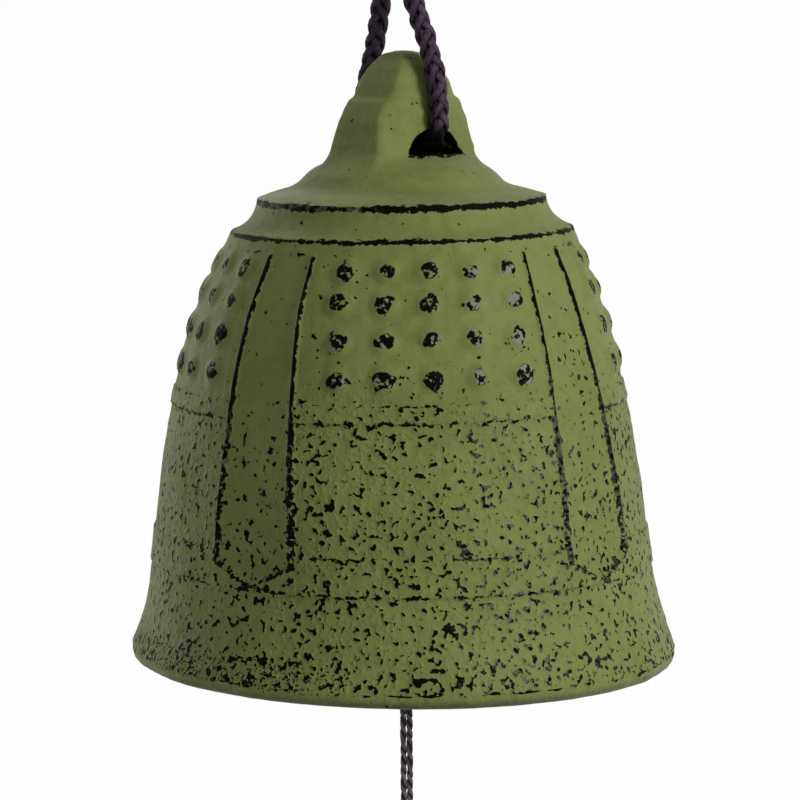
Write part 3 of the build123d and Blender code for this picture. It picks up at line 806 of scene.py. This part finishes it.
def fibre(name, light, dark):
    """Yarn: fine fibres that run along each strand, near black where the cord runs below the top of the
    lug's hole, with painted shade that darkens each strand towards its sides.
    """
    finish = Finish(name)
    along = finish.add("ShaderNodeTexCoord", {}, output="UV")
    threads = finish.noise(finish.stretched(along, (2.6, 0.16, 1.0)), 0.2, 2.0, 0.6)
    patches = finish.noise(finish.place(), 1.6, 2.0, 0.5)
    # Painted shade: each strand is lighter on its outward crest and darker towards its sides and underside
    painted_crest_light = finish.ramp(finish.add("ShaderNodeSeparateXYZ", {0: along}), 0.35, 0.95)
    mixed = finish.scaled(threads, 0.6, finish.times(patches, 0.25))
    mixed = finish.scaled(painted_crest_light, 0.25, mixed)
    yarn = finish.blend(finish.ramp(mixed, 0.44, 0.80), linear(dark), linear(light))
    finish.set(Base_Color=finish.blend(finish.mark("in_hole_dark"), yarn, linear(CORD_IN_HOLE)))
    finish.set(Roughness=0.7, Specular_IOR_Level=0.06)
    finish.set(Normal=finish.bump(finish.times(threads, 0.16)))
    return finish.material


def rough_iron():
    """Black lacquer on a rough sand casting, rubbed bright where it strikes."""
    finish = Finish("clapper_iron")
    place = finish.place()
    grains = finish.noise(place, 0.7, 3.0, 0.6)
    rubs = finish.noise(place, 3.0, 3.0, 0.6)
    rubbed = finish.ramp(rubs, 0.52, 0.68)
    finish.set(Base_Color=finish.blend(rubbed, linear(LACQUER_BLACK), linear(LACQUER_RUBBED)))
    finish.set(Roughness=finish.ramp(grains, 0.3, 0.7, 0.38, 0.62), Metallic=0.35)
    finish.set(Normal=finish.bump(finish.times(grains, 0.12)))
    return finish.material


def dull_wire():
    """Drawn wire with fine lines along it and a thin film of rust."""
    finish = Finish("eye_wire")
    place = finish.place()
    lines = finish.noise(finish.stretched(place, (1.0, 6.0, 1.0)), 0.4, 2.0, 0.5)
    film = finish.noise(place, 1.2, 3.0, 0.6)
    rusty = finish.ramp(film, 0.5, 0.7)
    finish.set(Base_Color=finish.blend(rusty, linear(WIRE_GREY), linear(WIRE_RUST)))
    finish.set(Metallic=0.85, Roughness=finish.ramp(lines, 0.3, 0.7, 0.32, 0.5))
    finish.set(Normal=finish.bump(finish.times(lines, 0.02)))
    return finish.material


def strip_paper():
    """Thick plain paper with long pale and tan fibres in it."""
    finish = Finish("strip_paper")
    place = finish.place()
    cloud = finish.noise(place, 6.0, 3.0, 0.55)
    pulp = finish.noise(place, 0.8, 3.0, 0.6)
    long_fibres = finish.noise(finish.stretched(place, (0.35, 1.0, 2.2)), 1.3, 4.0, 0.65, 1.6)
    hairs = finish.ramp(finish.math("ABSOLUTE", finish.minus(long_fibres, 0.5)), 0.012, 0.0)
    base = finish.blend(finish.ramp(cloud, 0.35, 0.65), linear(PAPER_PALE), linear(PAPER_CLOUD))
    finish.set(Base_Color=finish.blend(finish.times(hairs, 0.45), base, linear(PAPER_FIBRE)))
    finish.set(Roughness=0.85, Specular_IOR_Level=0.2)
    finish.set(Normal=finish.bump(finish.times(pulp, 0.05)))
    return finish.material


# Cords and threads

def route_line(points, step):
    """Points close together on the smooth line of a route, read from its own spline, in mm."""
    curve = bpy.data.curves.new("route", "CURVE")
    curve.dimensions = "3D"
    curve.resolution_u = 32
    spline = curve.splines.new("NURBS")
    spline.points.add(len(points) - 1)
    for spot, point in zip(spline.points, points):
        spot.co = (*(np.asarray(point) * MM), 1.0)
    spline.order_u = 3
    spline.use_endpoint_u = True
    holder = bpy.data.objects.new("route", curve)
    bpy.context.scene.collection.objects.link(holder)
    bpy.context.view_layer.update()
    mesh = bpy.data.meshes.new_from_object(holder)
    line = np.array([v.co for v in mesh.vertices]) / MM
    bpy.data.objects.remove(holder)
    bpy.data.meshes.remove(mesh)
    lengths = run_lengths(line)
    spots = np.linspace(0, lengths[-1], max(2, math.ceil(lengths[-1] / step)) + 1)
    return np.stack([np.interp(spots, lengths, line[:, n]) for n in range(3)], axis=1)


def run_lengths(line):
    """The distance of each point of a line from its start."""
    return np.concatenate([[0], np.cumsum(np.linalg.norm(np.diff(line, axis=0), axis=1))])


def unit(vectors):
    return vectors / np.linalg.norm(vectors, axis=1)[:, None]


def carried(line, side):
    """Directions across a line, carried along it without a twist, from a first direction."""
    ways = unit(np.gradient(line, axis=0))
    across = []
    for way in ways:
        side = side - way * (side @ way)
        side = side / np.linalg.norm(side)
        across.append(side)
    across = np.array(across)
    return across, np.cross(ways, across)


def tube(line, outward, wide, thick, sides, start):
    """Rings of an oval tube round a line, thick along outward and wide across it, with closed ends."""
    ways = unit(np.gradient(line, axis=0))
    outward = unit(outward - ways * np.sum(outward * ways, axis=1)[:, None])
    across = np.cross(ways, outward)
    turns = np.linspace(0, 2 * np.pi, sides, endpoint=False)
    rings = line[:, None] + thick * np.cos(turns)[None, :, None] * outward[:, None]
    rings = rings + wide * np.sin(turns)[None, :, None] * across[:, None]
    count = len(line)
    points = np.concatenate([rings.reshape(-1, 3), line[:1], line[-1:]])
    faces = ring_faces(count, sides, start)
    first = start + count * sides
    for side in range(sides):
        after = (side + 1) % sides
        faces.append((first, start + after, start + side))
        faces.append((first + 1, start + (count - 1) * sides + side, start + (count - 1) * sides + after))
    lengths = run_lengths(line)
    uv = np.stack(np.meshgrid(np.abs(np.linspace(-1, 1, sides)), lengths), axis=-1).reshape(-1, 2)
    return points, faces, np.concatenate([uv, [[0.5, 0.0]], [[0.5, lengths[-1]]]])


def strands(lines, sides, wide, thick):
    """One mesh of several strands, each a line with the directions that its flat side faces."""
    points, faces, uvs = [], [], []
    start = 0
    for line, outward in lines:
        made = tube(line, outward, wide, thick, sides, start)
        points.append(made[0])
        faces.extend(made[1])
        uvs.append(made[2])
        start += len(made[0])
    return np.concatenate(points), faces, np.concatenate(uvs)


def braid(line, side):
    """The cord's round braid of eight strands: four turn each way, over two and under two, on a core."""
    each_way = 4
    first, second = carried(line, side)
    lengths = run_lengths(line)
    turn = lengths / BRAID_PITCH * 2 * np.pi
    middle = 0.33 * CORD_D
    weave = 0.075 * CORD_D
    lines = [(line, first), (line, second)]
    for way in (1, -1):
        for n in range(each_way):
            uneven = np.sin(lengths * (0.8 + 0.13 * n) + way)
            angle = way * turn + n * 2 * np.pi / each_way + 0.15 * uneven
            lift = way * np.cos(each_way / 2 * turn + way * n * np.pi - way * np.pi / 4)
            outward = np.cos(angle)[:, None] * first + np.sin(angle)[:, None] * second
            lines.append((line + outward * (middle + weave * lift + 0.06 * uneven)[:, None], outward))
    return strands(lines, sides=8, wide=0.21 * CORD_D, thick=0.135 * CORD_D)


def doubled_thread(line, side, diameter=THREAD_D):
    """The doubled thread: two strands that lie side by side, with small gaps where both are narrow."""
    first, _ = carried(line, side)
    lengths = run_lengths(line)
    radius = diameter / 4
    lines = []
    for way in (1, -1):
        apart = radius * (0.96 + 0.05 * np.sin(lengths * 1.1 + way))
        strand = line + first * (way * apart)[:, None]
        slack = 0.55 * np.sin(lengths * 0.9 + 2 * way) + 0.3 * np.sin(lengths * 2.3 - way)
        lines.extend(plies(strand, first, radius, slack))
    return strands(lines, 8, 0.70 * radius, 0.5 * radius)


def plies(strand, side, radius, slack=0.0):
    """Two soft plies round the line of one strand, with the directions that they face."""
    ways = unit(np.gradient(strand, axis=0))
    first = unit(side - ways * np.sum(side * ways, axis=1)[:, None])
    second = np.cross(ways, first)
    turn = run_lengths(strand) / (7.8 * radius) * 2 * np.pi + slack
    made = []
    for half in (0, np.pi):
        outward = np.cos(turn + half)[:, None] * first - np.sin(turn + half)[:, None] * second
        made.append((strand + outward * radius * 0.5, outward))
    return made


def single_strand(line, side):
    """One two-ply strand of the thread, along a line."""
    first, _ = carried(line, side)
    radius = STRAND_D / 2
    return strands(plies(line, first, radius), 8, 0.70 * radius, 0.5 * radius)


def cord_point(out, height, along=0.0):
    return OUT * out + ALONG * along + UPWARD * height


def coil(middle, radius, foot_z, top_z, turns, step, start_turn=0.0, swell=0.0):
    """A winding round an upright line, from its foot to its top, a little wider at mid height."""
    length = turns * 2 * math.pi * radius
    share = np.linspace(0, 1, math.ceil(length / step))
    angle = share * turns * 2 * np.pi + start_turn
    wide = radius + swell * np.sin(np.pi * share)
    x = middle[0] + wide * np.cos(angle)
    y = middle[1] + wide * np.sin(angle)
    return np.stack([x, y, foot_z + (top_z - foot_z) * share], axis=1)


def make_cord_piece(name, line, side, node, body, material):
    points, faces, uvs = braid(line, side)
    piece = new_piece(name, points, faces, body, material, uvs)
    # Near black is blended into the cord where it runs below the top of the lug's hole
    up = points[:, 2] - RIM_Z
    in_hole_dark = piece.data.attributes.new("in_hole_dark", "FLOAT", "POINT")
    share = smooth_step(HOLE_TOP_UP + 1.0, HOLE_TOP_UP - 0.4, up)
    in_hole_dark.data.foreach_set("value", share.astype(np.float32))
    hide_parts(node)
    return piece


def make_hanging_cord(material):
    """The cord through the lug, its knot, its loop and its two cut ends."""
    step = 0.22
    bail_line = route_line([cord_point(*p) for p in BAIL_ROUTE], step)
    loop_line = route_line([cord_point(*p) for p in LOOP_ROUTE], step)
    bail = make_cord_piece("cord_bail", bail_line, ALONG, "hanging_cord", "hanger", material)
    loop = make_cord_piece("cord_loop", loop_line, ALONG, "hanging_loop", "hanger", material)

    low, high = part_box("hanging_knot")
    middle = np.array([(low.x + high.x) / 2, (low.y + high.y) / 2]) / MM
    reach = (high.x - low.x) / 2 / MM
    foot_z = low.z / MM + CORD_D / 2
    top_z = high.z / MM - CORD_D / 2
    winding = coil(middle, reach - CORD_D / 2 - 0.25, foot_z, top_z, turns=2.6, step=step,
                   start_turn=0.6, swell=0.25)
    knot = make_cord_piece("cord_knot", winding, UPWARD, "hanging_knot", "hanger", material)

    points, faces, uvs = [], [], []
    start = 0
    for side in (-1, 1):
        route = [cord_point(KNOT_OUT, height, side * along) for along, height in CORD_END_ROUTE]
        made = braid(route_line(route, step), OUT)
        points.append(made[0])
        faces.extend([tuple(corner + start for corner in face) for face in made[1]])
        uvs.append(made[2])
        start += len(made[0])
    ends = new_piece("cord_ends_cut", np.concatenate(points), faces, "hanger", material,
                     np.concatenate(uvs))
    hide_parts("cord_ends")


def node_span(node):
    """Lowest and highest Z of a node, in mm."""
    low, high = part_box(node)
    return low.z / MM, high.z / MM


def thread_knot(name, node, body, material, start_turn):
    """A knot of the thread, pulled tight round itself."""
    low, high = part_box(node)
    radius = (high.x - low.x) / 2 / MM - THREAD_D / 2 + 0.1
    foot_z, top_z = node_span(node)
    lift = THREAD_D * 0.44
    line = coil((0, 0), radius, foot_z + lift, top_z - lift, 2.2, 0.14, start_turn)
    points, faces, uvs = doubled_thread(line, UPWARD, THREAD_D * 0.92)
    piece = new_piece(name, points, faces, body, material, uvs)
    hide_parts(node)
    return piece


def hanging_thread(name, node, body, material, top_z, foot_z, sway):
    """A nearly straight stretch of thread, from inside one knot to inside the next."""
    middle_z = (top_z + foot_z) / 2
    line = route_line([(0, 0, top_z), (1.3 * sway, 0, middle_z), (sway, 0, foot_z)], 0.14)
    points, faces, uvs = doubled_thread(line, np.array([1.0, 0.0, 0.0]))
    piece = new_piece(name, points, faces, body, material, uvs)
    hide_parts(node)
    return piece


def make_thread(material):
    """The thread from the eye to the paper, with its loops and knots."""
    thread_knot("eye_knot", "thread_knot", "thread_head", material, 0.3)
    stop = thread_knot("clapper_stop_knot", "stop_knot", "clapper_line", material, 1.9)
    tie_knot = thread_knot("tie_knot", "strip_knot", "strip_head", material, 3.4)
    into_knot = 1.5
    eye_knot_foot, _ = node_span("thread_knot")
    stop_foot, stop_top = node_span("stop_knot")
    tie_foot, tie_top = node_span("strip_knot")
    hanging_thread("thread_inside", "clapper_thread", "clapper_line", material,
                   eye_knot_foot + into_knot, stop_top - into_knot, 0.1)
    hanging_thread("thread_below", "wind_thread", "wind_line", material,
                   stop_foot + into_knot, tie_top - into_knot, 0.4)

    low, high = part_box("thread_loop")
    reach = high.y / MM - STRAND_D / 2
    foot_z = low.z / MM - into_knot
    top_z = high.z / MM - STRAND_D / 2
    bend_z = top_z - reach
    fold = route_line([(0, -reach, foot_z), (0, -reach, bend_z - 1), (0, -reach, bend_z + 0.55 * reach),
                       (0, -0.55 * reach, top_z + 0.05), (0, 0.55 * reach, top_z + 0.05),
                       (0, reach, bend_z + 0.55 * reach), (0, reach, bend_z - 1), (0, reach, foot_z)], 0.1)
    points, faces, uvs = single_strand(fold, np.array([1.0, 0.0, 0.0]))
    loop = new_piece("thread_on_eye", points, faces, "bell", material, uvs)
    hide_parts("thread_loop")

    low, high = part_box("strip_loop")
    reach = high.y / MM - STRAND_D / 2
    foot_z = low.z / MM + STRAND_D / 2
    neck_z = tie_foot + into_knot
    spread_z = high.z / MM - 3.4
    tie = route_line([(0, -0.35, neck_z), (0, -0.35, tie_foot - 0.8), (0, -reach, spread_z),
                      (0, -reach, foot_z + 0.5 * reach), (0, -0.5 * reach, foot_z - 0.05),
                      (0, 0.5 * reach, foot_z - 0.05), (0, reach, foot_z + 0.5 * reach),
                      (0, reach, spread_z), (0, 0.35, tie_foot - 0.8), (0, 0.35, neck_z)], 0.1)
    points, faces, uvs = single_strand(tie, np.array([1.0, 0.0, 0.0]))
    strip_tie = new_piece("strip_tie", points, faces, "strip", material, uvs)
    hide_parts("strip_loop")


def make_paper_strip(material):
    """The paper strip, a little curled, with its punched hole."""
    low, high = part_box("paper_strip")
    width = (high.x - low.x) / MM
    length = (high.z - low.z) / MM
    thickness = (high.y - low.y) / MM
    top_z = high.z / MM
    hole_r = 2.0
    hole_drop = 4.0 + hole_r
    patch = 5.5
    edge = np.linspace(-patch, patch, 13)
    sides = 4 * (len(edge) - 1)
    side_up = np.stack([np.full(len(edge) - 1, patch), edge[:-1]], axis=1)
    square = np.concatenate([side_up, side_up[:, ::-1] * [-1, 1], -side_up, side_up[:, ::-1] * [1, -1]])
    ways = square / np.linalg.norm(square, axis=1)[:, None]
    flat_points = []
    flat_faces = []
    rings = 5
    for share in np.linspace(0, 1, rings):
        flat_points.append(ways * hole_r * (1 - share) + square * share + [0, -hole_drop])
    flat_faces.extend(ring_faces(rings, sides))
    # The square patch round the hole shares its edge points with a plain grid over the rest of the paper
    right_side = np.linspace(patch, width / 2, 8)[1:]
    xs = np.concatenate([np.linspace(-width / 2, -patch, 8)[:-1], edge, right_side])
    zs = np.concatenate([[0.0], edge[::-1] - hole_drop, np.linspace(-hole_drop - patch, -length, 45)[1:]])
    start = rings * sides
    flat_points.append(np.stack(np.meshgrid(xs, zs), axis=-1).reshape(-1, 2))
    for row in range(len(zs) - 1):
        for column in range(len(xs) - 1):
            middle_x = (xs[column] + xs[column + 1]) / 2
            middle_z = (zs[row] + zs[row + 1]) / 2
            if max(abs(middle_x), abs(middle_z + hole_drop)) < patch:
                continue
            corner = start + row * len(xs) + column
            flat_faces.append((corner, corner + 1, corner + len(xs) + 1, corner + len(xs)))
    flat = np.concatenate(flat_points)
    down = np.clip(-flat[:, 1] - hole_drop - patch, 0, None) / length
    roll, cup, ripple = 2.6, 1.5, 0.5
    curl = roll * np.sin(down * 2.4) * down + cup * down * (2 * flat[:, 0] / width) ** 2
    curl = curl + ripple * down * np.sin(flat[:, 0] * 0.16 + down * 4)
    points = np.stack([flat[:, 0], curl, top_z + flat[:, 1]], axis=1)
    piece = new_piece("wind_strip", points, flat_faces, "strip", material)
    join = piece.modifiers.new("join", "WELD")
    join.merge_threshold = 0.02 * MM
    thick = piece.modifiers.new("thickness", "SOLIDIFY")
    thick.thickness = thickness * MM
    thick.offset = 0.0
    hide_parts("paper_strip")


def make_bell(material):
    points, faces = casting_mesh()
    piece = new_piece("bell_casting", points, faces, "bell", material)
    cut_hole(piece)
    mark_wear(piece.data)
    piece.data.polygons.foreach_set("use_smooth", [True] * len(piece.data.polygons))
    piece.data.set_sharp_from_angle(angle=math.radians(50))
    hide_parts("bell")


# Stage

def make_camera():
    data = bpy.data.cameras.new("camera")
    data.sensor_width = SENSOR_WIDTH
    data.lens = FOCAL_PIXELS / FRAME_PIXELS * SENSOR_WIDTH
    camera = bpy.data.objects.new("camera", data)
    camera.location = (CAMERA_RIGHT * MM, -CAMERA_BACK * MM, (RIM_Z + CAMERA_UP) * MM)
    tilt = Matrix.Rotation(math.radians(90 - CAMERA_PITCH), 3, "X")
    roll = Matrix.Rotation(math.radians(CAMERA_ROLL), 3, "Z")
    camera.rotation_euler = (tilt @ roll).to_euler()
    bpy.context.scene.collection.objects.link(camera)
    bpy.context.scene.camera = camera


def seen_share(tree):
    """1 for a ray from the camera, or one that metal or glass sends on, and 0 for other light."""
    path = tree.nodes.new("ShaderNodeLightPath")
    first = tree.nodes.new("ShaderNodeMath")
    first.operation = "MAXIMUM"
    second = tree.nodes.new("ShaderNodeMath")
    second.operation = "MAXIMUM"
    tree.links.new(path.outputs["Is Camera Ray"], first.inputs[0])
    tree.links.new(path.outputs["Is Glossy Ray"], first.inputs[1])
    tree.links.new(first.outputs[0], second.inputs[0])
    tree.links.new(path.outputs["Is Transmission Ray"], second.inputs[1])
    return second.outputs[0]


def make_world(ambient):
    """Even white light, which the camera sees as a white room."""
    world = bpy.data.worlds.new("room")
    bpy.context.scene.world = world
    world.use_nodes = True
    tree = world.node_tree
    strength = tree.nodes.new("ShaderNodeMapRange")
    strength.inputs["To Min"].default_value = ambient
    strength.inputs["To Max"].default_value = 1.0
    tree.links.new(seen_share(tree), strength.inputs["Value"])
    background = tree.nodes["Background"]
    background.inputs["Color"].default_value = (1, 1, 1, 1)
    tree.links.new(strength.outputs[0], background.inputs["Strength"])


def make_floor():
    """A wide pale floor under the strip, which keeps the object's shadow."""
    reach = 14.0
    gap = 0.004
    floor_z = cad_low.z - gap
    mesh = bpy.data.meshes.new("floor")
    level = [(-reach, -reach), (reach, -reach), (reach, reach), (-reach, reach)]
    corners = [(x, y, floor_z) for x, y in level]
    mesh.from_pydata(corners, [], [(0, 1, 2, 3)])
    floor = bpy.data.objects.new("floor", mesh)
    bpy.context.scene.collection.objects.link(floor)
    material = bpy.data.materials.new("floor")
    material.use_nodes = True
    tree = material.node_tree
    shader = tree.nodes["Principled BSDF"]
    shader.inputs["Base Color"].default_value = (0.88, 0.88, 0.88, 1)
    shader.inputs["Roughness"].default_value = 0.9
    shader.inputs["Specular IOR Level"].default_value = 0.0
    glow = tree.nodes.new("ShaderNodeEmission")
    glow.inputs["Strength"].default_value = 1.0
    share = tree.nodes.new("ShaderNodeMath")
    share.operation = "MULTIPLY"
    share.inputs[1].default_value = 0.98
    tree.links.new(seen_share(tree), share.inputs[0])
    mix = tree.nodes.new("ShaderNodeMixShader")
    tree.links.new(share.outputs[0], mix.inputs[0])
    tree.links.new(shader.outputs[0], mix.inputs[1])
    tree.links.new(glow.outputs[0], mix.inputs[2])
    tree.links.new(mix.outputs[0], tree.nodes["Material Output"].inputs["Surface"])
    mesh.materials.append(material)


def make_lamp(name, azimuth, elevation, distance, size, watts):
    """A square soft lamp that faces the middle of the bell."""
    data = bpy.data.lights.new(name, "AREA")
    data.size = size
    data.energy = watts
    lamp = bpy.data.objects.new(name, data)
    level = math.cos(math.radians(elevation))
    back = heading(np.array(float(azimuth))) * level + UPWARD * math.sin(math.radians(elevation))
    target = np.array([0, 0, (RIM_Z + SHOULDER_UP / 2) * MM])
    lamp.location = target + back * distance
    tilt = Matrix.Rotation(math.radians(90 - elevation), 3, "X")
    turn = Matrix.Rotation(math.radians(azimuth), 3, "Z")
    lamp.rotation_euler = (turn @ tilt).to_euler()
    bpy.context.scene.collection.objects.link(lamp)


make_camera()
make_world(ambient=0.22)
make_floor()
make_lamp("key", azimuth=56, elevation=26, distance=1.1, size=0.32, watts=7.7)
make_lamp("back_fill", azimuth=-128, elevation=15, distance=1.3, size=0.7, watts=4.0)

make_hanging_cord(fibre("braided_cord", CORD_PLUM, CORD_PLUM_DARK))
make_thread(fibre("twisted_thread", THREAD_GREY, THREAD_BROWN))
make_bell(painted_iron())
make_paper_strip(strip_paper())
for node, material in (("clapper", rough_iron()), ("clapper_eye", dull_wire())):
    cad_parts[node].data.materials.clear()
    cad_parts[node].data.materials.append(material)

bpy.context.scene.view_settings.view_transform = "Standard"
